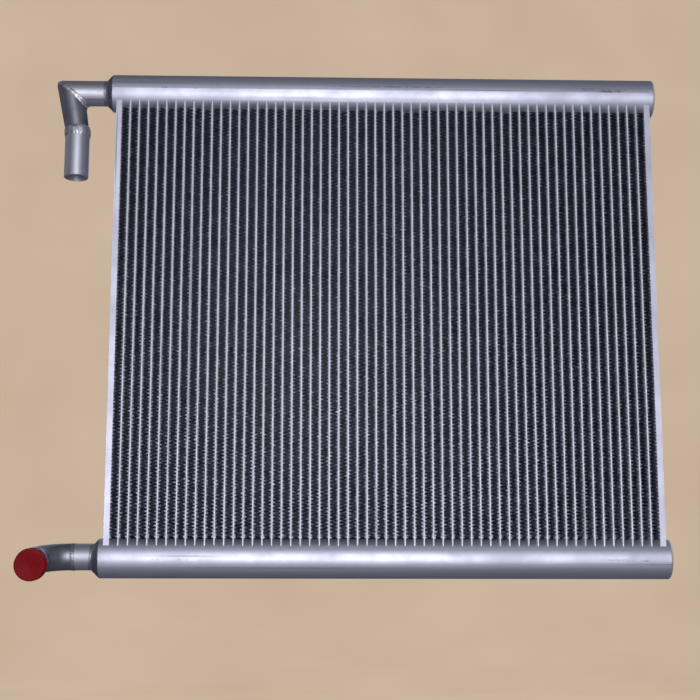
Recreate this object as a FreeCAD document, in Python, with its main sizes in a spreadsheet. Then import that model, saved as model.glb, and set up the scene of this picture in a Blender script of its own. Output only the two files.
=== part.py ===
import FreeCAD, Part
import os
import Sketcher

# Hydraulic oil cooler: a brazed aluminium core of flat oil tubes and corrugated fins between two
# round headers, with a welded inlet pipe, a welded outlet pipe and a push-on dust cap.
# Frame: origin at the centre of the core, +X along the headers away from the pipes,
# +Y from the front of the core to its back, +Z up. Millimetres and degrees.

DIMENSIONS = {
    # flat tubes
    "tube_pitch": 12.0,
    "tube_count": 57,
    "tube_thickness": 2.4,
    "tube_depth": 40.0,
    "tube_length": 598.0,
    "tube_wall": 0.4,
    "port_count": 10,
    "port_pitch": 3.7,
    "port_width": 3.3,
    # corrugated fins: fin_fold is the sheet's width along X where it folds against a tube
    "fin_depth": 38.0,
    "fin_length": 564.5,
    "fin_waves": 125,
    "fin_fold": 0.53,
    # headers and their end caps; header_shift moves both headers along X, off the core's centre
    "header_height": 308.0,
    "header_radius": 25.0,
    "header_wall": 2.0,
    "header_length": 711.0,
    "header_shift": -1.5,
    "braze_gap": 0.05,
    "cap_land": 3.6,
    "cap_depth": 14.1,
    "cap_edge": 3.0,
    "cone_angle": 45.0,
    "plain_depth": 8.0,
    "cap_wall": 4.0,
    "spigot_length": 6.0,
    # side plates
    "plate_depth": 40.0,
    "plate_length": 586.0,
    "plate_flange": 7.5,
    "plate_wall": 1.6,
    # pipes and hose nipples
    "pipe_radius": 16.85,
    "pipe_wall": 2.4,
    "pipe_inner_end": 364.0,
    "nipple_radius": 16.0,
    "nipple_wall": 2.0,
    "nipple_chamfer": 0.8,
    "land_length": 4.0,
    "land_step": 0.3,
    "inlet_corner": 417.0,
    "inlet_lean": 10.5,
    "corner_reach": 23.4,
    "leg_length": 55.7,
    "leg_overrun": 32.0,
    "leg_end_radius": 15.4,
    "inlet_nipple_length": 62.5,
    "outlet_bend_start": 393.0,
    "outlet_bend_radius": 42.0,
    "outlet_rise": 1.8,
    "outlet_tilt": 11.3,
    "outlet_nipple_length": 34.0,
    # weld beads: bead_root is how far a bead's blank reaches below the surface before it is cut
    "bead_width": 7.0,
    "bead_height": 1.3,
    "bead_root": 3.0,
    "fillet_leg": 3.2,
    "fillet_toe": 3.9,
    "fillet_lip": 0.3,
    "cutter_size": 90.0,
    # dust cap
    "dust_clearance": 0.15,
    "dust_end_gap": 0.3,
    "dust_wall": 3.0,
    "dust_skirt": 10.5,
    "dust_face": 2.5,
    "dust_corner": 2.2,
    "dust_rim": 0.9,
    "dust_rim_width": 2.4,
}
PIECES_PER_NODE = 3

X_AXIS = FreeCAD.Vector(1, 0, 0)
Y_AXIS = FreeCAD.Vector(0, 1, 0)
Z_AXIS = FreeCAD.Vector(0, 0, 1)

document = FreeCAD.newDocument("oil_cooler")
sheet = document.addObject("Spreadsheet::Sheet", "dims")
nodes = []


def fill_sheet():
    """Write each driving dimension beside its name, with the name as the cell's alias."""
    for row, (name, number) in enumerate(DIMENSIONS.items(), start=1):
        sheet.set(f"A{row}", name)
        sheet.set(f"B{row}", str(number))
        sheet.setAlias(f"B{row}", name)
    document.recompute()


def value(expression):
    """The number that an expression of sheet cells stands for."""
    return float(sheet.evalExpression(expression))


def bind(item, **expressions):
    """Tie properties of an object to the sheet; a double underscore stands for a dot."""
    for path, expression in expressions.items():
        item.setExpression(path.replace("__", "."), expression)
    return item


def primitive(kind, name, **expressions):
    """Add a Part primitive whose sizes follow the sheet."""
    return bind(document.addObject("Part::" + kind, name), **expressions)


def place(item, x="0", y="0", z="0", rotation=None):
    """Turn an object by a fixed rotation and move it to a point given by sheet expressions."""
    item.Placement = FreeCAD.Placement(FreeCAD.Vector(), rotation or FreeCAD.Rotation())
    return bind(item, Placement__Base__x=x, Placement__Base__y=y, Placement__Base__z=z)


def boolean(kind, name, base, tool):
    """Fuse, Cut or Common of two objects."""
    item = document.addObject("Part::" + kind, name)
    item.Base = base
    item.Tool = tool
    return item


def node(item, label):
    """Record a finished sub-part; its label names its file."""
    item.Label = label
    nodes.append(item)
    return item


# ---------------------------------------------------------------- sketches and bodies


def new_sketch(body, role, name):
    """A new sketch on one of the body's origin planes."""
    sketch = body.newObject("Sketcher::SketchObject", name)
    plane = next(item for item in body.Origin.OriginFeatures if item.Role == role)
    sketch.AttachmentSupport = [(plane, "")]
    sketch.MapMode = "FlatFace"
    return sketch


def vector(point):
    """A sketch point given as two sheet expressions."""
    return FreeCAD.Vector(value(point[0]), value(point[1]), 0)


def hold(sketch, geometry, end, kind, expression):
    """Fix one coordinate of a sketch point; a zero coordinate puts it on the other axis."""
    number = value(expression)
    if abs(number) < 1e-9:
        axis = -2 if kind == "DistanceX" else -1
        sketch.addConstraint(Sketcher.Constraint("PointOnObject", geometry, end, axis))
        return
    index = sketch.addConstraint(Sketcher.Constraint(kind, -1, 1, geometry, end, number))
    sketch.setExpression(f"Constraints[{index}]", expression)


def outline(sketch, points, arcs=None):
    """Draw a closed outline through points; arcs maps an edge to its centre of curvature."""
    arcs = arcs or {}
    corners = [vector(point) for point in points]
    count = len(corners)
    first, last = [], []
    for i, start in enumerate(corners):
        end = corners[(i + 1) % count]
        if i in arcs:
            centre = vector(arcs[i])
            radius = (start - centre).Length
            outwards = (start + end) * 0.5 - centre
            if outwards.Length < 1e-6:
                outwards = FreeCAD.Vector(end.y - start.y, start.x - end.x, 0)
            middle = centre + outwards.normalize() * radius
            sketch.addGeometry(Part.ArcOfCircle(start, middle, end))
        else:
            sketch.addGeometry(Part.LineSegment(start, end))
        runs_forward = (sketch.getPoint(i, 1) - start).Length < 1e-6
        first.append(1 if runs_forward else 2)
        last.append(2 if runs_forward else 1)
    for i, point in enumerate(points):
        after = (i + 1) % count
        sketch.addConstraint(Sketcher.Constraint("Coincident", i, last[i], after, first[after]))
        hold(sketch, i, first[i], "DistanceX", point[0])
        hold(sketch, i, first[i], "DistanceY", point[1])
    for i, centre in arcs.items():
        hold(sketch, i, 3, "DistanceY", centre[1])


def circles(sketch, centre, radii):
    """Draw concentric circles about a point."""
    for radius in radii:
        index = sketch.addGeometry(Part.Circle(vector(centre), Z_AXIS, value(radius)))
        hold(sketch, index, 3, "DistanceX", centre[0])
        hold(sketch, index, 3, "DistanceY", centre[1])
        size = sketch.addConstraint(Sketcher.Constraint("Radius", index, value(radius)))
        sketch.setExpression(f"Constraints[{size}]", radius)


def pad(body, sketch, length):
    """Extrude a sketch equally both ways."""
    feature = body.newObject("PartDesign::Pad", "Pad")
    feature.Profile = sketch
    feature.Midplane = True
    return bind(feature, Length=length)


def pocket(body, sketch, length, midplane=True, reverse=False):
    """Cut a sketch out of the body, both ways or one way."""
    feature = body.newObject("PartDesign::Pocket", "Pocket")
    feature.Profile = sketch
    feature.Midplane = midplane
    feature.Reversed = reverse
    return bind(feature, Length=length)


def repeat(body, feature, sketch, direction, length, count):
    """Repeat a feature along one of its sketch's axes."""
    pattern = body.newObject("PartDesign::LinearPattern", "Pattern")
    pattern.Originals = [feature]
    pattern.Direction = (sketch, [direction])
    bind(pattern, Length=length, Occurrences=count)
    body.Tip = pattern


def turned(name, points, arcs=None):
    """A body of revolution about X, from its half outline in the XY plane."""
    body = document.addObject("PartDesign::Body", name)
    sketch = new_sketch(body, "XY_Plane", name + "_profile")
    outline(sketch, points, arcs)
    feature = body.newObject("PartDesign::Revolution", "Revolution")
    feature.Profile = sketch
    feature.ReferenceAxis = (sketch, ["H_Axis"])
    feature.Angle = 360
    return body


# ---------------------------------------------------------------- core


def tube_outline(sketch, x, half_thickness, half_depth):
    """A flat tube's section: two broad sides joined by two full-round edges."""
    straight = f"({half_depth} - {half_thickness})"
    left = f"{x} - {half_thickness}"
    right = f"{x} + {half_thickness}"
    points = [(left, straight), (left, f"-{straight}"), (right, f"-{straight}"), (right, straight)]
    outline(sketch, points, {1: (x, f"-{straight}"), 3: (x, straight)})


def tube_master():
    """One extruded flat tube with a row of oil ports between its broad walls."""
    body = document.addObject("PartDesign::Body", "flat_tube_master")
    section = new_sketch(body, "XY_Plane", "tube_section")
    tube_outline(section, "0", "dims.tube_thickness / 2", "dims.tube_depth / 2")
    pad(body, section, "dims.tube_length")
    port = new_sketch(body, "XY_Plane", "port_section")
    side = "(dims.tube_thickness / 2 - dims.tube_wall)"
    first = "-dims.port_pitch * (dims.port_count - 1) / 2"
    low = f"{first} - dims.port_width / 2"
    high = f"{first} + dims.port_width / 2"
    outline(port, [(f"-{side}", low), (side, low), (side, high), (f"-{side}", high)])
    cut = pocket(body, port, "dims.tube_length * 2")
    repeat(body, cut, port, "V_Axis", "dims.port_pitch * (dims.port_count - 1)", "dims.port_count")
    return body


def fin_master():
    """One corrugated strip: a folded sheet that reaches from one flat tube to the next."""
    height = value("dims.tube_pitch - dims.tube_thickness")
    length = value("dims.fin_length")
    fold = value("dims.fin_fold")
    depth = value("dims.fin_depth")
    folds = 2 * int(value("dims.fin_waves"))
    one_side = []
    for i in range(folds + 1):
        x = -height / 2 if i % 2 == 0 else height / 2 - fold
        one_side.append(FreeCAD.Vector(x, -depth / 2, length * (i / folds - 0.5)))
    other_side = [point + X_AXIS * fold for point in reversed(one_side)]
    wire = Part.makePolygon(one_side + other_side + one_side[:1])
    strip = document.addObject("Part::Feature", "fin_strip_master")
    strip.Shape = Part.Face(wire).extrude(Y_AXIS * depth)
    return strip


def row_nodes(master, label, places):
    """Share a row of equal pieces out over nodes, a few to each, left to right."""
    groups = len(places) // PIECES_PER_NODE
    for group in range(groups):
        start = group * PIECES_PER_NODE
        stop = len(places) if group == groups - 1 else start + PIECES_PER_NODE
        links = []
        for i in range(start, stop):
            link = document.addObject("App::Link", f"{label}_link_{i + 1}")
            link.LinkedObject = master
            links.append(bind(link, Placement__Base__x=places[i]))
        compound = document.addObject("Part::Compound", f"{label}_group_{group + 1}")
        compound.Links = links
        node(compound, f"{label}_{group + 1:02d}")


def core():
    """The row of flat tubes and the row of fin strips between and outside them."""
    count = int(value("dims.tube_count"))
    tubes = [f"dims.tube_pitch * ({i} - (dims.tube_count - 1) / 2)" for i in range(count)]
    fins = [f"dims.tube_pitch * ({i} - dims.tube_count / 2)" for i in range(count + 1)]
    row_nodes(tube_master(), "flat_tubes", tubes)
    row_nodes(fin_master(), "fin_strips", fins)


def side_plate(label, turn):
    """A channel on the outermost fin, open outwards, its ends coped round the headers."""
    body = document.addObject("PartDesign::Body", label + "_body")
    inner = "dims.tube_pitch * (dims.tube_count + 1) / 2 - dims.tube_thickness / 2"
    web = f"{inner} + dims.plate_wall"
    lip = f"{inner} + dims.plate_flange"
    edge = "(dims.plate_depth / 2)"
    inside = "(dims.plate_depth / 2 - dims.plate_wall)"
    section = new_sketch(body, "XY_Plane", label + "_section")
    outline(section, [
        (inner, f"-{edge}"), (lip, f"-{edge}"), (lip, f"-{inside}"), (web, f"-{inside}"),
        (web, inside), (lip, inside), (lip, edge), (inner, edge),
    ])
    pad(body, section, "dims.plate_length")
    cope = new_sketch(body, "YZ_Plane", label + "_cope")
    for height in ("dims.header_height", "-dims.header_height"):
        circles(cope, ("0", height), ["dims.header_radius + dims.braze_gap"])
    pocket(body, cope, "dims.header_length * 2")
    place(body, rotation=FreeCAD.Rotation(Z_AXIS, turn))
    return node(body, label)


# ---------------------------------------------------------------- headers


def header_tube(label, side):
    """A round header with one slot for each flat tube on the side that faces the core."""
    body = document.addObject("PartDesign::Body", label + "_body")
    ring = new_sketch(body, "YZ_Plane", label + "_ring")
    circles(ring, ("0", "0"), ["dims.header_radius", "dims.header_radius - dims.header_wall"])
    pad(body, ring, "dims.header_length")
    slot = new_sketch(body, "XY_Plane", label + "_slot")
    first = "-dims.tube_pitch * (dims.tube_count - 1) / 2 - dims.header_shift"
    half_thickness = "(dims.tube_thickness / 2 + dims.braze_gap)"
    tube_outline(slot, first, half_thickness, "(dims.tube_depth / 2 + dims.braze_gap)")
    cut = pocket(body, slot, "dims.header_radius * 2", midplane=False, reverse=True)
    run = "dims.tube_pitch * (dims.tube_count - 1)"
    repeat(body, cut, slot, "H_Axis", run, "dims.tube_count")
    turn = FreeCAD.Rotation(X_AXIS, 180 if side > 0 else 0)
    place(body, x="dims.header_shift", z=f"{side} * dims.header_height", rotation=turn)
    return node(body, label)


def cone_profile():
    """The outer and inner points of a left cap, and its arc: a land, a rounded edge and a cone."""
    half_angle = "tan(dims.cone_angle / 2)"
    edge = f"(dims.cap_land - dims.cap_edge * {half_angle})"
    arc_centre = (edge, "(dims.header_radius - dims.cap_edge)")
    flank_x = f"{edge} + dims.cap_edge * sin(dims.cone_angle)"
    flank_y = "dims.header_radius - dims.cap_edge * (1 - cos(dims.cone_angle))"
    face = "dims.header_radius - (dims.cap_depth - dims.cap_land) * tan(dims.cone_angle)"
    rise = "(dims.cap_wall * tan(dims.cone_angle) - dims.cap_wall / cos(dims.cone_angle))"
    outer = [
        (edge, "dims.header_radius"), (flank_x, flank_y), ("dims.cap_depth", face), ("dims.cap_depth", "0"),
    ]
    inner = [
        ("dims.cap_depth - dims.cap_wall", "0"), ("dims.cap_depth - dims.cap_wall", f"{face} + {rise}"),
        (f"dims.cap_land - dims.cap_wall * {half_angle}", "dims.header_radius - dims.cap_wall"),
    ]
    return outer + inner, arc_centre


def disc_profile():
    """The outer and inner points of a right cap, and its arc: a land and a flat end."""
    edge = "(dims.plain_depth - dims.cap_edge)"
    below_edge = "(dims.header_radius - dims.cap_edge)"
    inside = "dims.plain_depth - dims.cap_wall"
    outer = [(edge, "dims.header_radius"), ("dims.plain_depth", below_edge), ("dims.plain_depth", "0")]
    inner = [(inside, "0"), (inside, "dims.header_radius - dims.cap_wall")]
    return outer + inner, (edge, below_edge)


def end_cap(label, x_side, z_side):
    """A cap whose spigot sits in the header's bore; the left caps are bored for a pipe."""
    ends, arc_centre = disc_profile() if x_side > 0 else cone_profile()
    hollow = "dims.header_radius - dims.cap_wall"
    spigot = "(dims.header_radius - dims.header_wall - dims.braze_gap)"
    points = [("0", "dims.header_radius"), *ends]
    points += [("-dims.spigot_length", hollow), ("-dims.spigot_length", spigot), ("0", spigot)]
    body = turned(label + "_body", points, {1: arc_centre})
    if x_side < 0:
        hole = new_sketch(body, "YZ_Plane", label + "_hole")
        circles(hole, ("0", "0" if z_side > 0 else "dims.outlet_rise"), ["dims.pipe_radius"])
        pocket(body, hole, "dims.header_radius * 4")
    turn = FreeCAD.Rotation(Z_AXIS, 0 if x_side > 0 else 180)
    x = f"dims.header_shift + {x_side} * dims.header_length / 2"
    place(body, x=x, z=f"{z_side} * dims.header_height", rotation=turn)
    return node(body, label)


# ---------------------------------------------------------------- pipes


def round_bar(name, radius, length, **placement):
    """A plain cylinder that stands for a pipe's outside or its bore."""
    return place(primitive("Cylinder", name, Radius=radius, Height=length), **placement)


def hose_nipple(label, length, **placement):
    """A plain hose end along its own +X: a weld land, the hose seat and a chamfered mouth."""
    bore = "dims.nipple_radius - dims.nipple_wall"
    land = "dims.nipple_radius - dims.land_step"
    points = [
        ("0", bore), ("0", land), ("dims.land_length", land), ("dims.land_length", "dims.nipple_radius"),
        (f"{length} - dims.nipple_chamfer", "dims.nipple_radius"),
        (length, "dims.nipple_radius - dims.nipple_chamfer"), (length, bore),
    ]
    return node(place(turned(label + "_body", points), **placement), label)


def cutter(name, turn, low, high):
    """A block between two planes through the inlet's corner, turned about Y."""
    block = primitive(
        "Box", name, Length="dims.cutter_size", Width="dims.cutter_size", Height=f"{high} - ({low})",
    )
    rotation = FreeCAD.Rotation(Y_AXIS, turn)
    half = value("dims.cutter_size / 2")
    offset = rotation.multVec(FreeCAD.Vector(-half, -half, value(low)))
    return place(
        block, x=f"-dims.inlet_corner + {offset.x}", y=f"{offset.y}",
        z=f"dims.header_height + {offset.z}", rotation=rotation,
    )


def weld_ring(label, radius, pipes, **placement):
    """A crowned bead round a joint, with the pipes that it lies on cut out of its blank."""
    crown = f"{radius} + dims.bead_height / 2 - dims.bead_width ^ 2 / (8 * dims.bead_height)"
    root = f"{radius} - dims.bead_root"
    left = "-dims.bead_width / 2"
    right = "dims.bead_width / 2"
    points = [(left, root), (right, root), (right, radius), (left, radius)]
    bead = place(turned(label + "_blank", points, {2: ("0", crown)}), **placement)
    for i, pipe in enumerate(pipes):
        bead = boolean("Cut", f"{label}_cut_{i + 1}", bead, pipe)
    return node(bead, label)


def fillet_weld(label, pipe, cap, height, rise="0"):
    """A sloping bead between an end cap's cone and its stub pipe; rise is the pipe's own offset."""
    root = "dims.pipe_radius - dims.bead_root"
    crease = "dims.header_length / 2 - dims.header_shift + dims.cap_land"
    joint = f"{crease} + (dims.header_radius - dims.pipe_radius) / tan(dims.cone_angle)"
    under = f"{joint} - dims.fillet_leg - {rise}"
    toe = f"{joint} + dims.fillet_toe"
    points = [
        (under, root), (toe, root), (toe, "dims.pipe_radius + dims.fillet_lip"),
        (under, "dims.pipe_radius + dims.fillet_leg + dims.fillet_lip"),
    ]
    bead = place(turned(label + "_blank", points), z=height, rotation=FreeCAD.Rotation(Z_AXIS, 180))
    mid_wall = "dims.header_radius - dims.cap_wall / 2"
    inside = primitive(
        "Cone", label + "_inside", Radius1=mid_wall, Radius2="0", Height=f"({mid_wall}) / tan(dims.cone_angle)",
    )
    place(inside, x=f"-({crease})", z=f"{height} - {rise}", rotation=FreeCAD.Rotation(Y_AXIS, -90))
    bead = boolean("Cut", label + "_on_pipe", bead, pipe)
    bead = boolean("Cut", label + "_over_wall", bead, inside)
    return node(boolean("Cut", label + "_on_cap", bead, cap), label)


def inlet(cap):
    """Stub, mitred leg and hose nipple: the oil comes in from below, beside the core."""
    height = "dims.header_height"
    lean = value("dims.inlet_lean")
    size = "dims.cutter_size"
    past_corner = "dims.inlet_corner + 2 * dims.pipe_radius - dims.pipe_inner_end"
    across = {"x": "-dims.pipe_inner_end", "z": height, "rotation": FreeCAD.Rotation(Y_AXIS, -90)}
    down = {
        "x": "-dims.inlet_corner - dims.leg_overrun * sin(dims.inlet_lean)",
        "z": "dims.header_height + dims.leg_overrun * cos(dims.inlet_lean)",
        "rotation": FreeCAD.Rotation(Y_AXIS, 180 - lean),
    }
    leg_end = {
        "x": "-dims.inlet_corner + dims.leg_length * sin(dims.inlet_lean)",
        "z": "dims.header_height - dims.leg_length * cos(dims.inlet_lean)",
    }

    def stub_bar(name, growth):
        """The stub's outside grown by a thickness, from inside its cap to past the corner."""
        return round_bar(name, f"dims.pipe_radius + {growth}", past_corner, **across)

    def leg_bar(name, growth):
        """The leg's tapering outside grown by a thickness, run past both of its ends."""
        taper = "(dims.pipe_radius - dims.leg_end_radius) / dims.leg_length * dims.leg_overrun"
        cone = primitive(
            "Cone", name,
            Radius1=f"dims.pipe_radius + {taper} + {growth}",
            Radius2=f"dims.leg_end_radius - {taper} + {growth}",
            Height="dims.leg_length + 2 * dims.leg_overrun",
        )
        return place(cone, **down)

    half_corner = (90 - lean) / 2
    corner_trim = cutter("corner_trim", half_corner - 90, "dims.corner_reach", size)
    bead_trim = cutter("bead_trim", half_corner - 90, "dims.corner_reach + dims.bead_height", size)
    below_mitre = cutter("below_mitre", half_corner, f"-{size}", "0")
    above_mitre = cutter("above_mitre", half_corner, "0", size)
    drop = "dims.leg_length * cos(dims.inlet_lean)"
    below_leg = cutter("below_leg", 0, f"-{size} - {drop}", f"-{drop}")

    stub_outside = boolean("Cut", "stub_outside", stub_bar("stub_bar", "0"), corner_trim)
    stub_ring = boolean("Cut", "inlet_stub_ring", stub_outside, stub_bar("inlet_stub_bore", "-dims.pipe_wall"))
    node(boolean("Cut", "inlet_stub_mitred", stub_ring, below_mitre), "inlet_stub_pipe")

    leg_outside = boolean("Cut", "leg_outside", leg_bar("leg_bar", "0"), corner_trim)
    leg_ring = boolean("Cut", "inlet_leg_ring", leg_outside, leg_bar("inlet_leg_bore", "-dims.pipe_wall"))
    leg_mitred = boolean("Cut", "inlet_leg_mitred", leg_ring, above_mitre)
    node(boolean("Cut", "inlet_leg_trimmed", leg_mitred, below_leg), "inlet_elbow_leg")

    nipple_turn = FreeCAD.Rotation(Y_AXIS, 90)
    hose_nipple("inlet_hose_nipple", "dims.inlet_nipple_length", rotation=nipple_turn, **leg_end)
    nipple_outside = round_bar(
        "inlet_nipple_outside", "dims.nipple_radius - dims.land_step", "dims.inlet_nipple_length",
        rotation=FreeCAD.Rotation(Y_AXIS, 180), **leg_end,
    )
    leg_above = boolean("Cut", "inlet_leg_above", leg_outside, below_leg)
    weld_ring(
        "inlet_nipple_weld", "dims.nipple_radius", [leg_above, nipple_outside],
        rotation=nipple_turn, **leg_end,
    )
    fillet_weld("inlet_stub_weld", stub_outside, cap, height)

    stub_half = boolean("Cut", "stub_half", stub_outside, below_mitre)
    leg_half = boolean("Cut", "leg_half", leg_outside, above_mitre)
    thick_stub = boolean("Cut", "thick_stub_half", stub_bar("thick_stub", "dims.bead_height"), below_mitre)
    thick_leg = boolean("Cut", "thick_leg_half", leg_bar("thick_leg", "dims.bead_height"), above_mitre)
    slab = cutter("mitre_slab", half_corner, "-dims.bead_width / 2", "dims.bead_width / 2")
    corner = boolean("Cut", "thick_trimmed", boolean("Fuse", "thick_corner", thick_stub, thick_leg), bead_trim)
    band = boolean("Common", "mitre_band", corner, slab)
    band = boolean("Cut", "mitre_band_on_stub", band, stub_half)
    node(boolean("Cut", "mitre_band_on_leg", band, leg_half), "inlet_mitre_weld")


def outlet(cap):
    """Stub, swept elbow and hose nipple that points forwards and a little down."""
    height = "-dims.header_height + dims.outlet_rise"
    plane = FreeCAD.Rotation(X_AXIS, value("dims.outlet_tilt"))
    along = plane * FreeCAD.Rotation(Z_AXIS, -90)
    across = {"x": "-dims.pipe_inner_end", "z": height, "rotation": FreeCAD.Rotation(Y_AXIS, -90)}
    bend_depth = {
        "y": "-dims.outlet_bend_radius * cos(dims.outlet_tilt)",
        "z": f"{height} - dims.outlet_bend_radius * sin(dims.outlet_tilt)",
    }
    elbow_end = {"x": "-dims.outlet_bend_start - dims.outlet_bend_radius", **bend_depth}

    run = "dims.outlet_bend_start - dims.pipe_inner_end"
    outside = round_bar("outlet_stub_outside", "dims.pipe_radius", run, **across)
    bore = round_bar("outlet_stub_bore", "dims.pipe_radius - dims.pipe_wall", run, **across)
    node(boolean("Cut", "outlet_stub_ring", outside, bore), "outlet_stub_pipe")

    bends = []
    for name, growth in (("elbow_outside", "0"), ("elbow_bore", "-dims.pipe_wall")):
        bend = primitive(
            "Torus", name, Radius1="dims.outlet_bend_radius", Radius2=f"dims.pipe_radius + {growth}",
        )
        bend.Angle1 = -180
        bend.Angle2 = 180
        bend.Angle3 = 90
        turn = plane * FreeCAD.Rotation(Z_AXIS, 90)
        bends.append(place(bend, x="-dims.outlet_bend_start", rotation=turn, **bend_depth))
    node(boolean("Cut", "elbow_ring", *bends), "outlet_elbow")

    hose_nipple("outlet_hose_nipple", "dims.outlet_nipple_length", rotation=along, **elbow_end)
    nipple_outside = round_bar(
        "outlet_nipple_outside", "dims.nipple_radius - dims.land_step", "dims.outlet_nipple_length",
        rotation=along * FreeCAD.Rotation(Y_AXIS, 90), **elbow_end,
    )
    fillet_weld("outlet_stub_weld", outside, cap, height, "dims.outlet_rise")
    weld_ring(
        "outlet_elbow_weld", "dims.pipe_radius", [outside, bends[0]],
        x="-dims.outlet_bend_start", z=height,
    )
    weld_ring(
        "outlet_nipple_weld", "dims.pipe_radius", [bends[0], nipple_outside],
        rotation=along, **elbow_end,
    )


def dust_cap():
    """A plastic push-on cap over the outlet nipple: rounded front, rim round its open end."""
    bore = "dims.nipple_radius + dims.dust_clearance"
    side = "dims.nipple_radius + dims.dust_clearance + dims.dust_wall"
    rim = side + " + dims.dust_rim"
    shoulder = "-dims.dust_skirt + dims.dust_rim_width"
    corner = ("dims.dust_face - dims.dust_corner", side + " - dims.dust_corner")
    points = [
        ("dims.dust_face", "0"), ("dims.dust_face", corner[1]), (corner[0], side), (shoulder, side),
        (shoulder, rim), ("-dims.dust_skirt", rim), ("-dims.dust_skirt", bore), ("0", bore), ("0", "0"),
    ]
    body = turned("dust_cap_body", points, {1: corner})
    reach = "(dims.outlet_bend_radius + dims.outlet_nipple_length + dims.dust_end_gap)"
    place(
        body,
        x="-dims.outlet_bend_start - dims.outlet_bend_radius",
        y=f"-{reach} * cos(dims.outlet_tilt)",
        z=f"-dims.header_height + dims.outlet_rise - {reach} * sin(dims.outlet_tilt)",
        rotation=FreeCAD.Rotation(X_AXIS, value("dims.outlet_tilt")) * FreeCAD.Rotation(Z_AXIS, -90),
    )
    return node(body, "outlet_dust_cap")


# ---------------------------------------------------------------- assembly


def check_and_write():
    """Stop at a failed object or a bad solid, then write one STEP file for each sub-part."""
    document.recompute()
    failed = [item.Name for item in document.Objects if {"Invalid", "Error"} & set(item.State)]
    if failed:
        raise RuntimeError(f"objects that failed: {failed}")
    for item in nodes:
        if item.Shape.isNull() or not item.Shape.isValid() or not item.Shape.Solids:
            raise RuntimeError(f"{item.Label} is not a valid solid")
    os.makedirs("parts", exist_ok=True)
    for item in nodes:
        item.Shape.exportStep(f"parts/{item.Label}.step")


def main():
    fill_sheet()
    core()
    side_plate("left_side_plate", 180)
    side_plate("right_side_plate", 0)
    header_tube("top_header_tube", 1)
    header_tube("bottom_header_tube", -1)
    end_cap("top_right_cap", 1, 1)
    end_cap("bottom_right_cap", 1, -1)
    inlet(end_cap("top_left_cap", -1, 1))
    outlet(end_cap("bottom_left_cap", -1, -1))
    dust_cap()
    check_and_write()


main()
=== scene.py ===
import math

import bmesh
import bpy
import numpy as np
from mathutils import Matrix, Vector


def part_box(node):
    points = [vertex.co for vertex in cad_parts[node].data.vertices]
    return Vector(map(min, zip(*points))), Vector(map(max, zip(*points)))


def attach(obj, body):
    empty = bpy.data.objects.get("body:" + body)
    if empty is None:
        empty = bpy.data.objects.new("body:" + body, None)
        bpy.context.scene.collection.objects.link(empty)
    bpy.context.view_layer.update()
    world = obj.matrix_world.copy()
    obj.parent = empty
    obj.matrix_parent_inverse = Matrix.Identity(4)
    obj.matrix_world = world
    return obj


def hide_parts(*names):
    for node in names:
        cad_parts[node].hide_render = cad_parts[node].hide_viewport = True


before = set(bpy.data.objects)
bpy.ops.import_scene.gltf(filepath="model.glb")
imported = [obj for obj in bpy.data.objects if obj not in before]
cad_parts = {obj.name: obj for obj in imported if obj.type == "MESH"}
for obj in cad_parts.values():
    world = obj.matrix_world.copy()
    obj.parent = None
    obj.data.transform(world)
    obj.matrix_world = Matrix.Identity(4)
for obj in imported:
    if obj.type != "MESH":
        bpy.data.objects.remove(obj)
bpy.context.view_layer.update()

# Hydraulic oil cooler: materials for the CAD nodes, and finer meshes for the corrugated fins, the
# weld beads and the dust cap. Metres, in the frame of the CAD model: +X along the headers away from
# the pipes, +Y to the back, +Z up, origin at the centre of the core.

MM = 0.001
SEED = 41

# camera
CAMERA_PLACE = (-0.104, -1.957, -0.420)
CAMERA_PAN = math.radians(-1.73)
CAMERA_PITCH = math.radians(11.02)
LENS = 78.94

# core
TUBE_PITCH = 12 * MM
TUBE_THICKNESS = 2.4 * MM
FIN_WAVES = 125
FIN_SHEET = 0.14 * MM
FIN_CREST_RADIUS = 0.55 * MM
FIN_BRAZE = 0.55 * MM
FIN_FRONT_STRIP = 2.0 * MM
FIN_CUT_SPREAD = 1.2 * MM
FIN_SEAT = 1.0 * MM
# an end fold's share of a full fold, and how far the lowest folds are lifted at the front
FIN_END_FOLD = 0.3
END_LIFTS = np.repeat([2.2, 1.9, 1.2, 0.5], 4) * MM
# braze fillets: how far one runs out from its tube, and half its height
TOOTH_REACH = 2.7 * MM
TOOTH_RISE = 1.3 * MM

# headers and pipes, as the CAD model has them
HEADER_HEIGHT = 308 * MM
HEADER_RADIUS = 25 * MM
CAP_EDGE = -360.6 * MM
PIPE_RADIUS = 16.85 * MM
NIPPLE_RADIUS = 16 * MM
INLET_CORNER = -417 * MM
INLET_LEAN = math.radians(10.5)
INLET_LEG = 55.7 * MM
INLET_LEG_END_RADIUS = 15.4 * MM
PIPE_WALL = 2.4 * MM
PIPE_START = -364 * MM
OUTLET_RISE = 1.8 * MM
OUTLET_BEND_START = -393 * MM
OUTLET_BEND_RADIUS = 42 * MM
OUTLET_TILT = math.radians(11.3)
OUTLET_NIPPLE = 34 * MM

# a cap's face counts as its end when its normal has this share along the header
END_FACING = 0.3


# ---------------------------------------------------------------- shader building blocks


def shader(tree, kind, inputs=None, **settings):
    """Add a shader node, set its options and set or link its inputs."""
    item = tree.nodes.new("ShaderNode" + kind)
    for key, setting in settings.items():
        setattr(item, key, setting)
    for key, source in (inputs or {}).items():
        if isinstance(source, bpy.types.NodeSocket):
            tree.links.new(source, item.inputs[key])
        else:
            item.inputs[key].default_value = source
    return item


def math_node(tree, operation, *values):
    """A Math node on numbers or sockets."""
    return shader(tree, "Math", dict(enumerate(values)), operation=operation).outputs[0]


def mix_colour(tree, factor, first, second):
    """A colour mix; the sockets are picked by position because their names repeat."""
    item = shader(tree, "Mix", {0: factor, 6: first, 7: second}, data_type="RGBA")
    return item.outputs[2]


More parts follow.
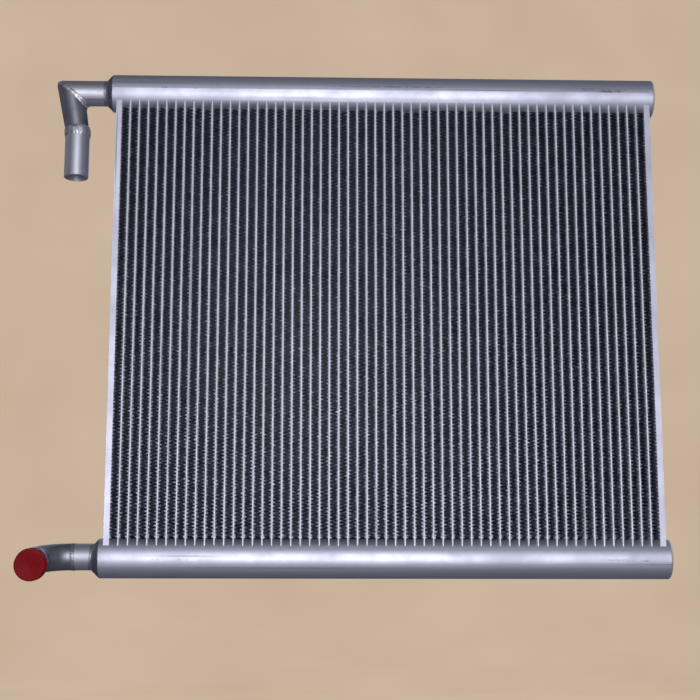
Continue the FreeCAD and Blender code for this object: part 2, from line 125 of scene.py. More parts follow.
def remap(tree, source, low, high, to_low=0.0, to_high=1.0):
    """Map a range of values to another, clamped."""
    values = {"Value": source, "From Min": low, "From Max": high, "To Min": to_low, "To Max": to_high}
    return shader(tree, "MapRange", values).outputs["Result"]


def place_in(tree, scale=(1, 1, 1)):
    """Coordinates of the frame in metres, stretched by a scale on each axis."""
    coordinates = shader(tree, "TexCoord").outputs["Object"]
    return shader(tree, "Mapping", {"Vector": coordinates, "Scale": scale}).outputs["Vector"]


def noise(tree, scale, detail=3.0, roughness=0.55, stretch=(1, 1, 1)):
    """Noise with a number of cells to the metre, stretched along an axis by a small factor."""
    values = {
        "Vector": place_in(tree, stretch), "Scale": scale, "Detail": detail, "Roughness": roughness,
    }
    return shader(tree, "TexNoise", values).outputs["Fac"]


def new_material(name):
    """An empty material with its tree and its principled shader."""
    made = bpy.data.materials.new(name)
    made.use_nodes = True
    tree = made.node_tree
    tree.nodes.clear()
    surface = shader(tree, "BsdfPrincipled")
    shader(tree, "OutputMaterial", {"Surface": surface.outputs[0]})
    return made, tree, surface


def metal(name, light, dark, roughness, stretch, grain=1400, blotch=22, bump=0.25, scratch=0.5, marks=(),
          metallic=0.92):
    """Mill-finish aluminium: drawn grain along one axis, dull patches, streaks and fine scratches, plus any
    given marks, some of them painted shade.
    """
    made, tree, surface = new_material(name)
    patches = noise(tree, blotch, 5.0, 0.6)
    lines = noise(tree, grain, 3.0, 0.6, stretch)
    streak_stretch = tuple(0.3 * part if part < 1 else part for part in stretch)
    streaks = noise(tree, grain * 0.18, 3.0, 0.6, streak_stretch)
    pits = noise(tree, grain * 0.5, 2.0, 0.5)
    nick_stretch = tuple(max(0.12 * part, 0.01) if part < 1 else part for part in stretch)
    nicks = noise(tree, grain * 0.22, 1.0, 0.4, nick_stretch)
    nicks = math_node(tree, "MULTIPLY", remap(tree, nicks, 0.70, 0.76), scratch)
    # Given marks darken the colour like the scratches; some of them are painted shade, as the header's list
    # says.
    for mark in marks:
        nicks = math_node(tree, "MAXIMUM", nicks, scuff_and_painted_shade(tree, *mark))
    dull = remap(tree, patches, 0.36, 0.64, 0.0, 0.75)
    tone = math_node(tree, "ADD", dull, remap(tree, streaks, 0.3, 0.7, 0.0, 0.25))
    colour = mix_colour(tree, tone, dark, light)
    colour = mix_colour(tree, remap(tree, lines, 0.3, 0.7, 0.0, 0.35), colour, light)
    colour = mix_colour(tree, nicks, colour, tuple(0.22 * part for part in dark[:3]) + (1,))
    tree.links.new(colour, surface.inputs["Base Color"])
    surface.inputs["Metallic"].default_value = metallic
    surface.inputs["Specular Tint"].default_value = (0.45, 0.46, 0.58, 1)
    rough = math_node(tree, "ADD", remap(tree, patches, 0.3, 0.7, roughness + 0.06, roughness - 0.04),
                      remap(tree, streaks, 0.3, 0.7, -0.03, 0.03))
    tree.links.new(rough, surface.inputs["Roughness"])
    height = math_node(tree, "ADD", lines, math_node(tree, "MULTIPLY", pits, 0.6))
    height = math_node(tree, "SUBTRACT", height, math_node(tree, "MULTIPLY", nicks, 1.5))
    relief = shader(tree, "Bump", {"Height": height, "Strength": bump, "Distance": 0.06 * MM})
    tree.links.new(relief.outputs[0], surface.inputs["Normal"])
    return made


def off_centre(tree, *sides):
    """The squared distance from a centre; a side is (coordinate, centre, scale)."""
    squares = []
    for coordinate, centre, scale in sides:
        offset = math_node(tree, "MULTIPLY", math_node(tree, "SUBTRACT", coordinate, centre), scale)
        squares.append(math_node(tree, "POWER", offset, 2.0))
    return math_node(tree, "ADD", *squares)


def scuff_and_painted_shade(tree, x, z, half_length, half_height, strength):
    """A ragged dark mark on the front of the object round a place given in millimetres; the header's list
    uses it both for scuffs and for painted shade.
    """
    parts = shader(tree, "SeparateXYZ", {"Vector": place_in(tree)})
    along = (parts.outputs["X"], x * MM, 1 / (half_length * MM))
    across = (parts.outputs["Z"], z * MM, 1 / (half_height * MM))
    square = off_centre(tree, along, across)
    speckle = remap(tree, noise(tree, 260, 3.0, 0.7), 0.38, 0.56)
    ragged = math_node(tree, "MULTIPLY", remap(tree, square, 1.0, 0.3), speckle)
    front = math_node(tree, "LESS_THAN", parts.outputs["Y"], 0.0)
    return math_node(tree, "MULTIPLY", math_node(tree, "MULTIPLY", ragged, front), strength)


def weld_metal(name, light, dark, tint_share):
    """Bead metal: wavy and uneven, with a straw and blue heat tint in places."""
    made, tree, surface = new_material(name)
    patches = noise(tree, 150, 4.0, 0.65)
    fine = noise(tree, 800, 3.0, 0.6)
    colour = mix_colour(tree, remap(tree, patches, 0.38, 0.62), dark, light)
    tint = mix_colour(tree, remap(tree, fine, 0.4, 0.6), (0.50, 0.42, 0.34, 1), (0.36, 0.40, 0.52, 1))
    colour = mix_colour(tree, remap(tree, noise(tree, 60, 2.0), 0.52, 0.66, 0.0, tint_share), colour, tint)
    tree.links.new(colour, surface.inputs["Base Color"])
    surface.inputs["Metallic"].default_value = 0.9
    tree.links.new(remap(tree, patches, 0.3, 0.7, 0.66, 0.46), surface.inputs["Roughness"])
    height = math_node(tree, "ADD", fine, math_node(tree, "MULTIPLY", patches, 1.5))
    relief = shader(tree, "Bump", {"Height": height, "Strength": 0.4, "Distance": 0.25 * MM})
    tree.links.new(relief.outputs[0], surface.inputs["Normal"])
    return made


def fin_metal():
    """Fin sheet painted dark for the shade deep in the corrugations, each strip its own tint; bright braze at
    the crests and bare metal at the front and back edges, where the painted shade gives way.
    """
    made, tree, surface = new_material("fin_sheet")
    parts = shader(tree, "SeparateXYZ", {"Vector": place_in(tree)})
    pitches = math_node(tree, "DIVIDE", parts.outputs["X"], TUBE_PITCH)
    strip = shader(tree, "TexWhiteNoise", {"W": math_node(tree, "FLOOR", pitches)}, noise_dimensions="1D")
    drift = math_node(tree, "MULTIPLY", math_node(tree, "SUBTRACT", noise(tree, 26, 4.0, 0.6), 0.5), 1.5)
    # The near-black ramp is painted shade: the sheet is bare aluminium, dark here for the shade deep between
    # the fins, with a slightly different tint for each strip.
    tint = shader(tree, "ValToRGB", {"Fac": math_node(tree, "ADD", strip.outputs["Value"], drift)})
    tint.color_ramp.elements[0].color = (0.010, 0.013, 0.042, 1)
    tint.color_ramp.elements[1].color = (0.026, 0.019, 0.036, 1)
    for position, stop in (
        (0.3, (0.014, 0.021, 0.036, 1)), (0.5, (0.017, 0.017, 0.047, 1)), (0.75, (0.020, 0.024, 0.031, 1)),
    ):
        tint.color_ramp.elements.new(position).color = stop
    grime = noise(tree, 60, 5.0, 0.65)
    film = remap(tree, grime, 0.42, 0.70, 0.0, 0.4)
    colour = mix_colour(tree, film, tint.outputs[0], (0.048, 0.048, 0.066, 1))
    distance = off_centre(tree, (parts.outputs["X"], -0.075, 5.5), (parts.outputs["Z"], -0.105, 6.5))
    dust = math_node(tree, "MULTIPLY", remap(tree, distance, 1.0, 0.1), remap(tree, grime, 0.35, 0.6))
    colour = mix_colour(tree, math_node(tree, "MULTIPLY", dust, 0.5), colour, (0.12, 0.095, 0.08, 1))
    nearest_tube = math_node(tree, "ROUND", pitches)
    beside = math_node(tree, "ABSOLUTE", math_node(tree, "SUBTRACT", pitches, nearest_tube))
    crest = remap(tree, beside, 0.36, 0.12)
    crest = math_node(tree, "MULTIPLY", crest, remap(tree, noise(tree, 300, 2.0), 0.38, 0.52, 0.35, 1.0))
    # Crests and edges are bright only within a fraction of a millimetre of the front and back faces and dark
    # deeper in: painted shade of the core's depth.
    depth = math_node(tree, "ABSOLUTE", parts.outputs["Y"])
    crest = math_node(tree, "MULTIPLY", crest, remap(tree, depth, 18.6 * MM, 18.9 * MM, 0.1, 0.8))
    edge = remap(tree, depth, 18.4 * MM, 18.8 * MM)
    edge = math_node(tree, "MULTIPLY", edge, remap(tree, grime, 0.35, 0.55, 0.15, 0.45))
    colour = mix_colour(tree, math_node(tree, "MAXIMUM", crest, edge), colour, (0.56, 0.57, 0.73, 1))
    tree.links.new(colour, surface.inputs["Base Color"])
    surface.inputs["Metallic"].default_value = 0.55
    surface.inputs["Specular Tint"].default_value = (0.45, 0.50, 0.80, 1)
    tree.links.new(remap(tree, grime, 0.3, 0.7, 0.38, 0.62), surface.inputs["Roughness"])
    louvres = shader(tree, "TexWave", {
        "Vector": place_in(tree), "Scale": 120.0, "Distortion": 0.4, "Detail": 1.0,
    }, bands_direction="Y")
    relief = shader(tree, "Bump", {"Height": louvres.outputs["Fac"], "Strength": 0.5, "Distance": 0.3 * MM})
    tree.links.new(relief.outputs[0], surface.inputs["Normal"])
    return made


def red_plastic():
    """Moulded polyethylene: matt, faintly mottled, scuffed paler on its edges."""
    made, tree, surface = new_material("cap_plastic")
    mottle = noise(tree, 260, 4.0, 0.6)
    scuffs = remap(tree, noise(tree, 700, 3.0, 0.7, (1, 0.25, 1)), 0.60, 0.72, 0.0, 0.35)
    shade = remap(tree, mottle, 0.35, 0.65)
    colour = mix_colour(tree, shade, (0.215, 0.0065, 0.010, 1), (0.265, 0.008, 0.012, 1))
    colour = mix_colour(tree, scuffs, colour, (0.29, 0.02, 0.024, 1))
    tree.links.new(colour, surface.inputs["Base Color"])
    tree.links.new(remap(tree, mottle, 0.3, 0.7, 0.52, 0.68), surface.inputs["Roughness"])
    surface.inputs["Specular IOR Level"].default_value = 0.08
    surface.inputs["Subsurface Weight"].default_value = 0.08
    surface.inputs["Subsurface Radius"].default_value = (0.004, 0.0008, 0.0008)
    grain = noise(tree, 2600, 2.0, 0.5)
    relief = shader(tree, "Bump", {"Height": grain, "Strength": 0.22, "Distance": 0.05 * MM})
    tree.links.new(relief.outputs[0], surface.inputs["Normal"])
    return made


# ---------------------------------------------------------------- meshes


def new_piece(name, vertices, faces, material, body, stands_for, smooth=True):
    """A mesh piece that stands for CAD nodes and rides on a body."""
    mesh = bpy.data.meshes.new(name)
    mesh.from_pydata([tuple(point) for point in vertices], [], faces)
    mesh.validate()
    mesh.polygons.foreach_set("use_smooth", [smooth] * len(mesh.polygons))
    mesh.materials.append(material)
    made = bpy.data.objects.new(name, mesh)
    bpy.context.scene.collection.objects.link(made)
    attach(made, body)
    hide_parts(*stands_for)
    return made


def band_faces(rings, points, closed_rings=True, closed_points=True):
    """Quads between rings of points; each ring joins the next, and the last the first if closed."""
    faces = []
    for i in range(rings if closed_rings else rings - 1):
        for j in range(points if closed_points else points - 1):
            a = i * points + j
            b = i * points + (j + 1) % points
            c = ((i + 1) % rings) * points + (j + 1) % points
            d = ((i + 1) % rings) * points + j
            faces.append((a, b, c, d))
    return faces


def corrugation(height, length):
    """One strip in the XZ plane, as two outlines: straight flanks between round crests.

    The first and the last fold are pressed flat, as they are where a strip is cut off. Braze fills the
    inside of each crest.
    """
    steps = np.ones(2 * FIN_WAVES)
    steps[[0, -1]] = FIN_END_FOLD
    heights = np.concatenate([[0.0], np.cumsum(steps)])
    half_wave = (length - 2 * FIN_CREST_RADIUS - FIN_SHEET) / heights[-1]
    heights = (heights - heights[-1] / 2) * half_wave
    reach = height / 2 - FIN_SHEET / 2 - FIN_CREST_RADIUS
    span = math.hypot(2 * reach, half_wave)
    slope = math.atan2(half_wave, 2 * reach) - math.asin(2 * FIN_CREST_RADIUS / span)
    outlines = ([], [])
    for fold, z in enumerate(heights):
        side = 1 if fold % 2 else -1
        for step in (-1.0, -0.4, 0.4, 1.0):
            angle = step * (math.pi / 2 - slope)
            out_x, out_z = side * math.cos(angle), math.sin(angle)
            on_crest = abs(step) < 1
            inner = -FIN_SHEET / 2 - FIN_BRAZE * on_crest
            for outline, offset in zip(outlines, (FIN_SHEET / 2, inner)[::side]):
                radius = FIN_CREST_RADIUS + offset
                outline.append((side * reach + radius * out_x, z + radius * out_z))
    return np.array(outlines), heights


def braze_teeth(walls, heights, front, back, random):
    """Small braze fillets that join each crest to its tube's wall, at the front and at the back."""
    sides = np.where(np.arange(len(heights)) % 2, 1, -1)
    wall = np.where(sides > 0, walls[1], walls[0])
    teeth = []
    for level, facing in ((front, -1), (back, 1)):
        reach = TOOTH_REACH * random.uniform(0.6, 1.25, len(heights))
        rise = TOOTH_RISE * random.uniform(0.75, 1.2, len(heights)) * sides * facing
        depth = np.full(len(heights), level)
        teeth.append(np.stack([
            np.stack([wall, depth, heights - rise], axis=-1),
            np.stack([wall - sides * reach, depth, heights], axis=-1),
            np.stack([wall, depth, heights + rise], axis=-1),
        ], axis=1))
    return np.concatenate(teeth).reshape(-1, 3)


def fin_node(name, material, random):
    """Rounded corrugated strips with a few folds bent at the front and the back."""
    low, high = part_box(name)
    height = TUBE_PITCH - TUBE_THICKNESS
    strips = round((high.x - low.x + TUBE_THICKNESS) / TUBE_PITCH)
    rows = np.array([low.y, low.y + FIN_FRONT_STRIP, high.y - FIN_FRONT_STRIP, high.y])
    bottom = low.z - FIN_SEAT
    vertices, faces, count = [], [], 0
    for strip in range(strips):
        centre = low.x + height / 2 + strip * TUBE_PITCH
        top = high.z + FIN_SEAT - max(random.normal(0, FIN_CUT_SPREAD), 0)
        outlines, folds = corrugation(height, top - bottom)
        sheet = np.empty((len(rows), *outlines.shape[:2], 3))
        sheet[..., 0] = centre + outlines[..., 0]
        sheet[..., 1] = rows[:, None, None]
        sheet[..., 2] = outlines[..., 1] + (bottom + top) / 2
        bend_folds(sheet, random)
        sheet[:2, :, :END_LIFTS.size, 2] += END_LIFTS * random.uniform(0.3, 1.0)
        index = np.arange(sheet.size // 3).reshape(sheet.shape[:3]) + count
        for grid in (index[:, 0, :][:, ::-1], index[:, 1, :], index[0], index[-1, ::-1, :]):
            faces += quads(grid).tolist()
        walls = (centre - height / 2, centre + height / 2)
        teeth = braze_teeth(walls, folds + (bottom + top) / 2, low.y, high.y, random)
        first = count + sheet.size // 3
        faces += (np.arange(len(teeth)).reshape(-1, 3) + first).tolist()
        vertices += [sheet.reshape(-1, 3), teeth]
        count = first + len(teeth)
    points = np.concatenate(vertices)
    return new_piece(name + "_look", points, faces, material, "cooler", [name], smooth=False)


def quads(index):
    """Quads over a grid of vertex numbers."""
    return np.stack([index[:-1, :-1], index[:-1, 1:], index[1:, 1:], index[1:, :-1]], axis=-1).reshape(-1, 4)


def bend_folds(sheet, random):
    """Push the front or back edge of a few neighbouring folds aside, as handling does."""
    count = sheet.shape[2]
    for row, inwards in ((0, 1), (-1, -1)):
        for _ in range(random.poisson(1.5)):
            first = random.integers(8, count - 30)
            run = slice(first, first + random.integers(4, 12))
            push = random.uniform(-1.1, 1.1) * MM
            sheet[row, :, run, 2] += push
            sheet[row, :, run, 1] += inwards * abs(push) * 0.3


def bead(name, stations, width, height, ripples, material, stands_for, seed, lumps=0.25, ripple_depth=0.3):
    """A rippled weld bead round a closed joint.

    A station is (point, direction to one toe, direction to the other toe, outward direction, share of
    the full height). A height below zero makes a hollow fillet.
    """
    sways = np.random.default_rng(seed).uniform(-1, 1, 12)
    around = np.linspace(0, len(sways), len(stations), endpoint=False)
    wander = 1 + lumps * np.interp(around, np.arange(len(sways) + 1), np.append(sways, sways[0]))
    section = np.linspace(-1, 1, 11)
    vertices = []
    for i, (point, toe_a, toe_b, outward, share) in enumerate(stations):
        turn = i / len(stations) * ripples
        for v in section:
            phase = (turn + 0.55 * v * v) % 1.0
            ripple = 1 - ripple_depth * phase
            crown = height * share * wander[i] * math.sqrt(max(1 - v * v, 0)) * ripple
            toe = toe_a if v < 0 else toe_b
            spread = width / 2 * (1 + 0.08 * math.sin(2 * math.pi * turn)) * abs(v)
            vertices.append(point + toe * spread + outward * (crown - 0.15 * MM))
    faces = band_faces(len(stations), len(section), closed_points=False)
    return new_piece(name, vertices, faces, material, "cooler", stands_for)


def ring_stations(centre, axis, side, radius, steps=480):
    """Stations round a pipe: axis along the pipe, side any direction square to it."""
    other = axis.cross(side)
    stations = []
    for i in range(steps):
        angle = 2 * math.pi * i / steps
        outward = side * math.cos(angle) + other * math.sin(angle)
        stations.append((centre + outward * radius, -axis, axis, outward, 1.0))
    return stations


def inlet_line(angle, radius):
    """One line along the inlet's wall: its kink at the mitre, its end, and how soft the kink is."""
    corner = Vector((INLET_CORNER, 0, HEADER_HEIGHT))
    along_leg = Vector((math.sin(INLET_LEAN), 0, -math.cos(INLET_LEAN)))
    off_stub = Vector((0, math.sin(angle), math.cos(angle)))
    shift = -math.cos(INLET_LEAN) / (1 - math.sin(INLET_LEAN))
    kink = corner + off_stub * radius + Vector((shift * radius * math.cos(angle), 0, 0))
    off_leg = kink - corner
    off_leg -= along_leg * off_leg.dot(along_leg)
    taper = INLET_LEG_END_RADIUS / PIPE_RADIUS
    run = (corner + along_leg * INLET_LEG + off_leg * taper) - kink
    level = HEADER_HEIGHT - INLET_LEG * math.cos(INLET_LEAN)
    end = kink + run * ((level - kink.z) / run.z)
    softness = (2.5 + 7.0 * ((1 + math.cos(angle)) / 2) ** 2) * MM
    return kink, end, softness, off_stub, off_leg.normalized()


def mitre_stations(steps=560):
    """Stations round the inlet's mitre, where the stub and the leg meet in one plane."""
    stations = []
    for i in range(steps):
        angle = 2 * math.pi * i / steps
        kink, end, softness, off_stub, off_leg = inlet_line(angle, PIPE_RADIUS)
        to_stub, to_leg = Vector((1, 0, 0)), (end - kink).normalized()
        point = kink + (to_stub + to_leg) * softness / 4
        across = (to_stub - to_leg).normalized()
        outer = (1 + math.cos(angle)) / 2
        outward = (off_stub + off_leg).normalized()
        toe_a = (to_stub.lerp(across, outer).normalized() - outward * 0.35 * outer).normalized()
        toe_b = (to_leg.lerp(-across, outer).normalized() - outward * 0.35 * outer).normalized()
        stations.append((point, toe_a, toe_b, outward, 1 - 0.7 * outer ** 2))
    return stations


def inlet_pipe(name, stub_side, material, stands_for):
    """The stub or the leg of the inlet, outside and inside, rounded where they meet."""
    steps = 96
    rings = []
    for radius in (PIPE_RADIUS, PIPE_RADIUS - PIPE_WALL):
        grid = []
        for i in range(steps):
            kink, end, softness, off_stub, _ = inlet_line(2 * math.pi * i / steps, radius)
            start = Vector((PIPE_START, kink.y, kink.z))
            from_stub, from_leg = kink + Vector((softness, 0, 0)), kink + (end - kink).normalized() * softness
            line = []
            if stub_side:
                line += [start.lerp(from_stub, step / 12) for step in range(12)]
                line += [curve_point(from_stub, kink, from_leg, step / 16) for step in range(9)]
            else:
                line += [curve_point(from_stub, kink, from_leg, step / 16) for step in range(8, 17)]
                line += [from_leg.lerp(end, step / 14) for step in range(1, 15)]
            grid.append(line)
        rings.append(grid)
    vertices, faces = [], []
    per_line = len(rings[0][0])
    for grid in rings:
        vertices += [point for line in grid for point in line]
    outside = band_faces(steps, per_line, closed_points=False)
    inside = [tuple(steps * per_line + corner for corner in reversed(face)) for face in outside]
    for i in range(steps):
        for j in (0, per_line - 1):
            a, b = i * per_line + j, (i + 1) % steps * per_line + j
            faces.append((a, b, b + steps * per_line, a + steps * per_line))
    faces += outside + inside
    return new_piece(name, vertices, faces, material, "cooler", stands_for)


def curve_point(start, control, end, t):
    """A point on a quadratic curve."""
    return start * (1 - t) ** 2 + control * 2 * t * (1 - t) + end * t ** 2


def cap_stations(height, lift, steps=480):
    """Stations round a stub pipe where it leaves its cap's 45 degree cone, lifted off the cone's axis."""
    right = Vector((1, 0, 0))
    stations = []
    for i in range(steps):
        angle = 2 * math.pi * i / steps
        radial = Vector((0, math.sin(angle), math.cos(angle)))
        off_axis = radial * PIPE_RADIUS + Vector((0, 0, lift))
        depth = HEADER_RADIUS - off_axis.length
        point = off_axis + Vector((CAP_EDGE - depth, 0, height))
        up_cone = (off_axis.normalized() + right).normalized()
        stations.append((point, -right, up_cone, (radial - right * 0.4).normalized(), 1.0))
    return stations


def weld_beads(bright, dull):
    """All six welds, each laid over its CAD node's place."""
    down = Vector((0, 0, -1))
    right = Vector((1, 0, 0))
    up = Vector((0, 0, 1))
    leg_end = Vector((
        INLET_CORNER + INLET_LEG * math.sin(INLET_LEAN), 0, HEADER_HEIGHT - INLET_LEG * math.cos(INLET_LEAN),
    ))
    forward = Vector((0, -math.cos(OUTLET_TILT), -math.sin(OUTLET_TILT)))
    bend_start = Vector((OUTLET_BEND_START, 0, OUTLET_RISE - HEADER_HEIGHT))
    elbow_end = bend_start - right * OUTLET_BEND_RADIUS + forward * OUTLET_BEND_RADIUS
    bead("inlet_mitre_bead", mitre_stations(), 9 * MM, 1.3 * MM, 22, bright, ["inlet_mitre_weld"], SEED,
         ripple_depth=0.10)
    bead("inlet_nipple_bead", ring_stations(leg_end, down, right, PIPE_RADIUS - 1.4 * MM), 15 * MM, 1.9 * MM,
         18, bright, ["inlet_nipple_weld"], SEED + 1, lumps=0.35, ripple_depth=0.12)
    bead("inlet_stub_bead", cap_stations(HEADER_HEIGHT, 0.0), 9 * MM, 0.25 * MM, 40, dull,
         ["inlet_stub_weld"], SEED + 2, lumps=0.1, ripple_depth=0.12)
    bead("outlet_stub_bead", cap_stations(-HEADER_HEIGHT, OUTLET_RISE), 9 * MM, 0.25 * MM, 40, dull,
         ["outlet_stub_weld"], SEED + 3, lumps=0.1, ripple_depth=0.12)
    bead("outlet_elbow_bead", ring_stations(bend_start, -right, up, PIPE_RADIUS), 6 * MM, 0.6 * MM, 34,
         dull, ["outlet_elbow_weld"], SEED + 4, ripple_depth=0.2)
    bead("outlet_nipple_bead", ring_stations(elbow_end, forward, right, PIPE_RADIUS), 6.5 * MM, 1.1 * MM, 34,
         dull, ["outlet_nipple_weld"], SEED + 5)


# ---------------------------------------------------------------- dust cap


def dust_cap(material):
    """A lathe-turned moulding: dished face, rounded shoulder, skirt with a rim, gate mark."""
    forward = Vector((0, -math.cos(OUTLET_TILT), -math.sin(OUTLET_TILT)))
    right = Vector((1, 0, 0))
    up = right.cross(forward)
    reach = OUTLET_BEND_RADIUS + OUTLET_NIPPLE + 0.3 * MM
    seat = Vector((OUTLET_BEND_START - OUTLET_BEND_RADIUS, 0, OUTLET_RISE - HEADER_HEIGHT)) + forward * reach
    bore = NIPPLE_RADIUS + 0.15 * MM
    side = bore + 3 * MM
    rim = side + 0.9 * MM
    face = 2.5 * MM
    skirt = 10.5 * MM
    corner = 2.2 * MM
    profile = [
        (face - 0.30 * MM, 0.0), (face - 0.30 * MM, 1.0 * MM), (face - 0.42 * MM, 1.3 * MM),
        (face - 0.28 * MM, 1.6 * MM), (face - 0.28 * MM, side - 4.4 * MM), (face, side - 3.6 * MM),
    ]
    for step in range(9):
        angle = math.pi / 2 * step / 8
        profile.append((face - corner + corner * math.cos(angle), side - corner + corner * math.sin(angle)))
    lip = 0.35 * MM
    profile += [
        (-skirt + 2.9 * MM, side), (-skirt + 2.4 * MM, side + 0.25 * MM), (-skirt + 2.2 * MM, rim - lip),
        (-skirt + 1.8 * MM, rim), (-skirt + lip, rim), (-skirt, rim - lip), (-skirt, bore + 0.5 * MM),
        (-skirt + 0.5 * MM, bore), (-0.1 * MM, bore), (-0.05 * MM, bore - 0.5 * MM), (-0.05 * MM, 0.0),
    ]
    steps = 128
    vertices = []
    for i in range(steps):
        angle = 2 * math.pi * i / steps
        outward = right * math.cos(angle) + up * math.sin(angle)
        for along, radius in profile:
            vertices.append(seat + forward * along + outward * radius)
    faces = band_faces(steps, len(profile), closed_points=False)
    made = new_piece(
        "dust_cap_moulding", vertices, faces, material, "dust_cap", ["outlet_dust_cap"],
    )
    weld_doubles(made.data)
    return made


def weld_doubles(mesh):
    """Merge the points that a turned profile repeats on its axis."""
    work = bmesh.new()
    work.from_mesh(mesh)
    bmesh.ops.remove_doubles(work, verts=work.verts, dist=0.001 * MM)
    bmesh.ops.recalc_face_normals(work, faces=work.faces)
    work.to_mesh(mesh)
    work.free()


# ---------------------------------------------------------------- stage


def backdrop():
    """A pale bowl far round the object: flat floor, coved up into a plain wall."""
    floor, radius, cove, top = -0.62, 5.0, 1.6, 5.0
    profile = [(0.0, floor), (radius * 0.5, floor), (radius, floor)]
    for step in range(1, 13):
        angle = math.pi / 2 * step / 12
        profile.append((radius + cove * math.sin(angle), floor + cove * (1 - math.cos(angle))))
    profile.append((radius + cove, top))
    steps = 96
    vertices = [
        (out * math.cos(2 * math.pi * i / steps), out * math.sin(2 * math.pi * i / steps), z)
        for i in range(steps) for out, z in profile
    ]
    mesh = bpy.data.meshes.new("floor")
    mesh.from_pydata(vertices, [], band_faces(steps, len(profile), closed_points=False))
    mesh.polygons.foreach_set("use_smooth", [True] * len(mesh.polygons))
    weld_doubles(mesh)
    made, tree, surface = new_material("floor_paper")
    mottle = noise(tree, 1.4, 2.0)
    beige = mix_colour(tree, remap(tree, mottle, 0.3, 0.7), (0.60, 0.457, 0.330, 1), (0.65, 0.50, 0.368, 1))
    tree.links.new(beige, surface.inputs["Base Color"])
    tree.links.new(beige, surface.inputs["Emission Color"])
    surface.inputs["Emission Strength"].default_value = 0.86
    surface.inputs["Roughness"].default_value = 0.9
    surface.inputs["Specular IOR Level"].default_value = 0.0
    mesh.materials.append(made)
    bowl = bpy.data.objects.new("floor", mesh)
    bpy.context.scene.collection.objects.link(bowl)
    bowl.visible_glossy = False
    bowl.visible_diffuse = False
    bowl.visible_shadow = False
    return bowl


def area_light(name, place, aim, width, height, power, colour=(1, 1, 1)):
    """A soft box that points at a place."""
    lamp = bpy.data.lights.new(name, "AREA")
    lamp.shape = "RECTANGLE"
    lamp.size = width
    lamp.size_y = height
    lamp.energy = power
    lamp.color = colour
    made = bpy.data.objects.new(name, lamp)
    bpy.context.scene.collection.objects.link(made)
    made.location = place
    made.rotation_mode = "QUATERNION"
    made.rotation_quaternion = (Vector(aim) - Vector(place)).to_track_quat("-Z", "Y")
    made.visible_camera = False
    return made


def spare_floor(lamps, bowl):
    """Keep lamps that stand close to the floor from burning a pool of light into it."""
    unlit = bpy.data.collections.new("floor_unlit")
    unlit.objects.link(bowl)
    unlit.collection_objects[0].light_linking.link_state = "EXCLUDE"
    for lamp in lamps:
        lamp.light_linking.receiver_collection = unlit


def lights(bowl):
    """A tall frontal soft box near the camera, with weak fill from the sides and the back."""
    key = area_light("key", (-0.08, -2.40, -0.05), (0, 0, 0), 0.5, 1.12, 33, (0.95, 0.955, 1.0))
    area_light("left", (-3.2, 1.0, 1.3), (0, 0, 0), 2.6, 2.6, 4)
    area_light("right", (3.2, 0.8, 1.5), (0, 0, 0), 2.6, 2.6, 16)
    area_light("back", (-0.4, 3.4, 1.1), (0, 0, 0), 3.0, 3.0, 42)
    low = area_light("low", (-0.05, -1.25, -0.56), (0, 0, -0.31), 0.7, 0.1, 2.0)
    spare_floor([key, low], bowl)
    world = bpy.data.worlds.new("studio")
    world.use_nodes = True
    background = world.node_tree.nodes["Background"]
    background.inputs["Color"].default_value = (0.80, 0.84, 1.0, 1)
    background.inputs["Strength"].default_value = 0.09
    bpy.context.scene.world = world


def camera():
    """The photographer's place: level with the lower header, a little left of centre."""
    lens = bpy.data.cameras.new("camera")
    lens.lens = LENS
    lens.sensor_width = 36
    made = bpy.data.objects.new("camera", lens)
    bpy.context.scene.collection.objects.link(made)
    made.location = CAMERA_PLACE
    made.rotation_euler = (math.pi / 2 + CAMERA_PITCH, 0, CAMERA_PAN)
    bpy.context.scene.camera = made


# ---------------------------------------------------------------- assembly


def dress_nodes(materials):
    """Give every CAD node that stays in view the material of its slot."""
    for name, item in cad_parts.items():
        kind = next((key for key in materials if name.startswith(key) or name.endswith(key)), None)
        if kind:
            item.data.materials.clear()
            item.data.materials.append(materials[kind])
            if kind == "cap":
                paint_light_on_cap_ends(item.data, materials["left_end" if "left" in name else "right_end"])


def paint_light_on_cap_ends(mesh, material):
    """Give the faces of a header cap that look along the header a copy of the header metal with painted
    light: painted shade on the left caps' cones, a painted pinkish reflection of the backdrop on the right
    caps' flat ends.
    """
    mesh.materials.append(material)
    for face in mesh.polygons:
        if abs(face.normal.x) > END_FACING:
            face.material_index = 1


# Dark marks on the headers (x, z, half length, half height in mm, strength). The long soft ones at x 8 and x
# 285 on the upper header are painted shade: a dark reflection of the surroundings above the highlight, and
# the dimming where a dent bends the highlight's edge. The others are scratches and smudges.
HEADER_SCUFFS_AND_PAINTED_SHADE = (
    (-292, 309, 6, 0.9, 0.8), (-250, 308, 3, 1.0, 0.6), (8, 313, 95, 1.6, 0.45), (302, 309.5, 20, 1.8, 0.75),
    (285, 312, 50, 2.4, 0.4), (-288, -311, 6, 0.9, 0.7), (-259, -311, 3, 0.8, 0.6), (-249, -311, 2, 0.8, 0.5),
    (292, -310.5, 28, 0.9, 0.7), (326, -311.5, 6, 1.0, 0.8),
)


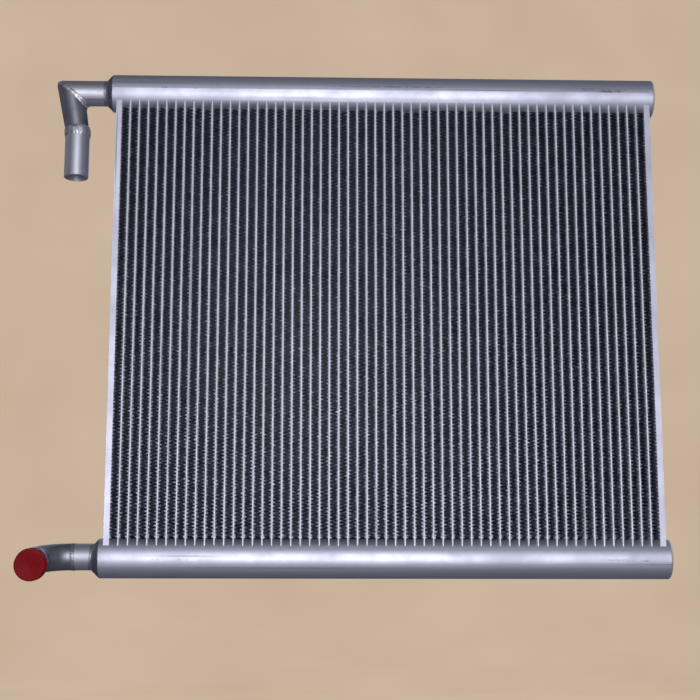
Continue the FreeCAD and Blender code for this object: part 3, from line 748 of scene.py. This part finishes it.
def main():
    bpy.context.scene.view_settings.view_transform = "Standard"
    header = metal(
        "header_aluminium", (0.73, 0.74, 0.86, 1), (0.56, 0.565, 0.68, 1), 0.56, (0.02, 1, 1),
        marks=HEADER_SCUFFS_AND_PAINTED_SHADE,
    )
    tube = metal(
        "tube_aluminium", (0.93, 0.93, 0.97, 1), (0.76, 0.76, 0.84, 1), 0.56, (1, 1, 0.03),
        blotch=60, metallic=0.55,
    )
    plate = metal("plate_aluminium", (0.76, 0.76, 0.87, 1), (0.62, 0.62, 0.73, 1), 0.60, (1, 1, 0.05))
    drawn = metal("pipe_drawn", (0.70, 0.70, 0.79, 1), (0.54, 0.54, 0.61, 1), 0.52, (0.05, 1, 1))
    turned = metal("pipe_turned", (0.76, 0.76, 0.86, 1), (0.58, 0.58, 0.67, 1), 0.50, (1, 1, 0.05))
    bent = metal(
        "pipe_bent", (0.37, 0.374, 0.43, 1), (0.23, 0.233, 0.27, 1), 0.50, (1, 1, 0.4), grain=900, blotch=60,
    )
    dress_nodes({
        "header_tube": header, "cap": header, "flat_tubes": tube, "side_plate": plate,
        "stub_pipe": drawn, "hose_nipple": turned, "outlet_elbow": bent,
        # Lit and shaded copies of the header metal for the caps' end faces: the dark cone is painted shade,
        # the pale pinkish disc a painted reflection of the beige backdrop.
        "left_end": metal("cap_cone_painted_shade", (0.32, 0.323, 0.39, 1), (0.21, 0.213, 0.26, 1), 0.50, (1, 1, 1)),
        "right_end": metal("cap_disc_painted_reflection", (0.97, 0.93, 0.92, 1), (0.85, 0.81, 0.80, 1), 0.62, (1, 1, 1)),
    })
    inlet_pipe("inlet_stub_look", True, drawn, ["inlet_stub_pipe"])
    inlet_pipe("inlet_leg_look", False, bent, ["inlet_elbow_leg"])
    random = np.random.default_rng(SEED)
    fins = fin_metal()
    for name in sorted(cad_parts):
        if name.startswith("fin_strips"):
            fin_node(name, fins, random)
    bright = weld_metal("weld_bright", (0.82, 0.82, 0.88, 1), (0.36, 0.36, 0.41, 1), 0.3)
    dull = weld_metal("weld_dull", (0.42, 0.42, 0.48, 1), (0.24, 0.245, 0.28, 1), 0.2)
    weld_beads(bright, dull)
    dust_cap(red_plastic())
    lights(backdrop())
    camera()


main()
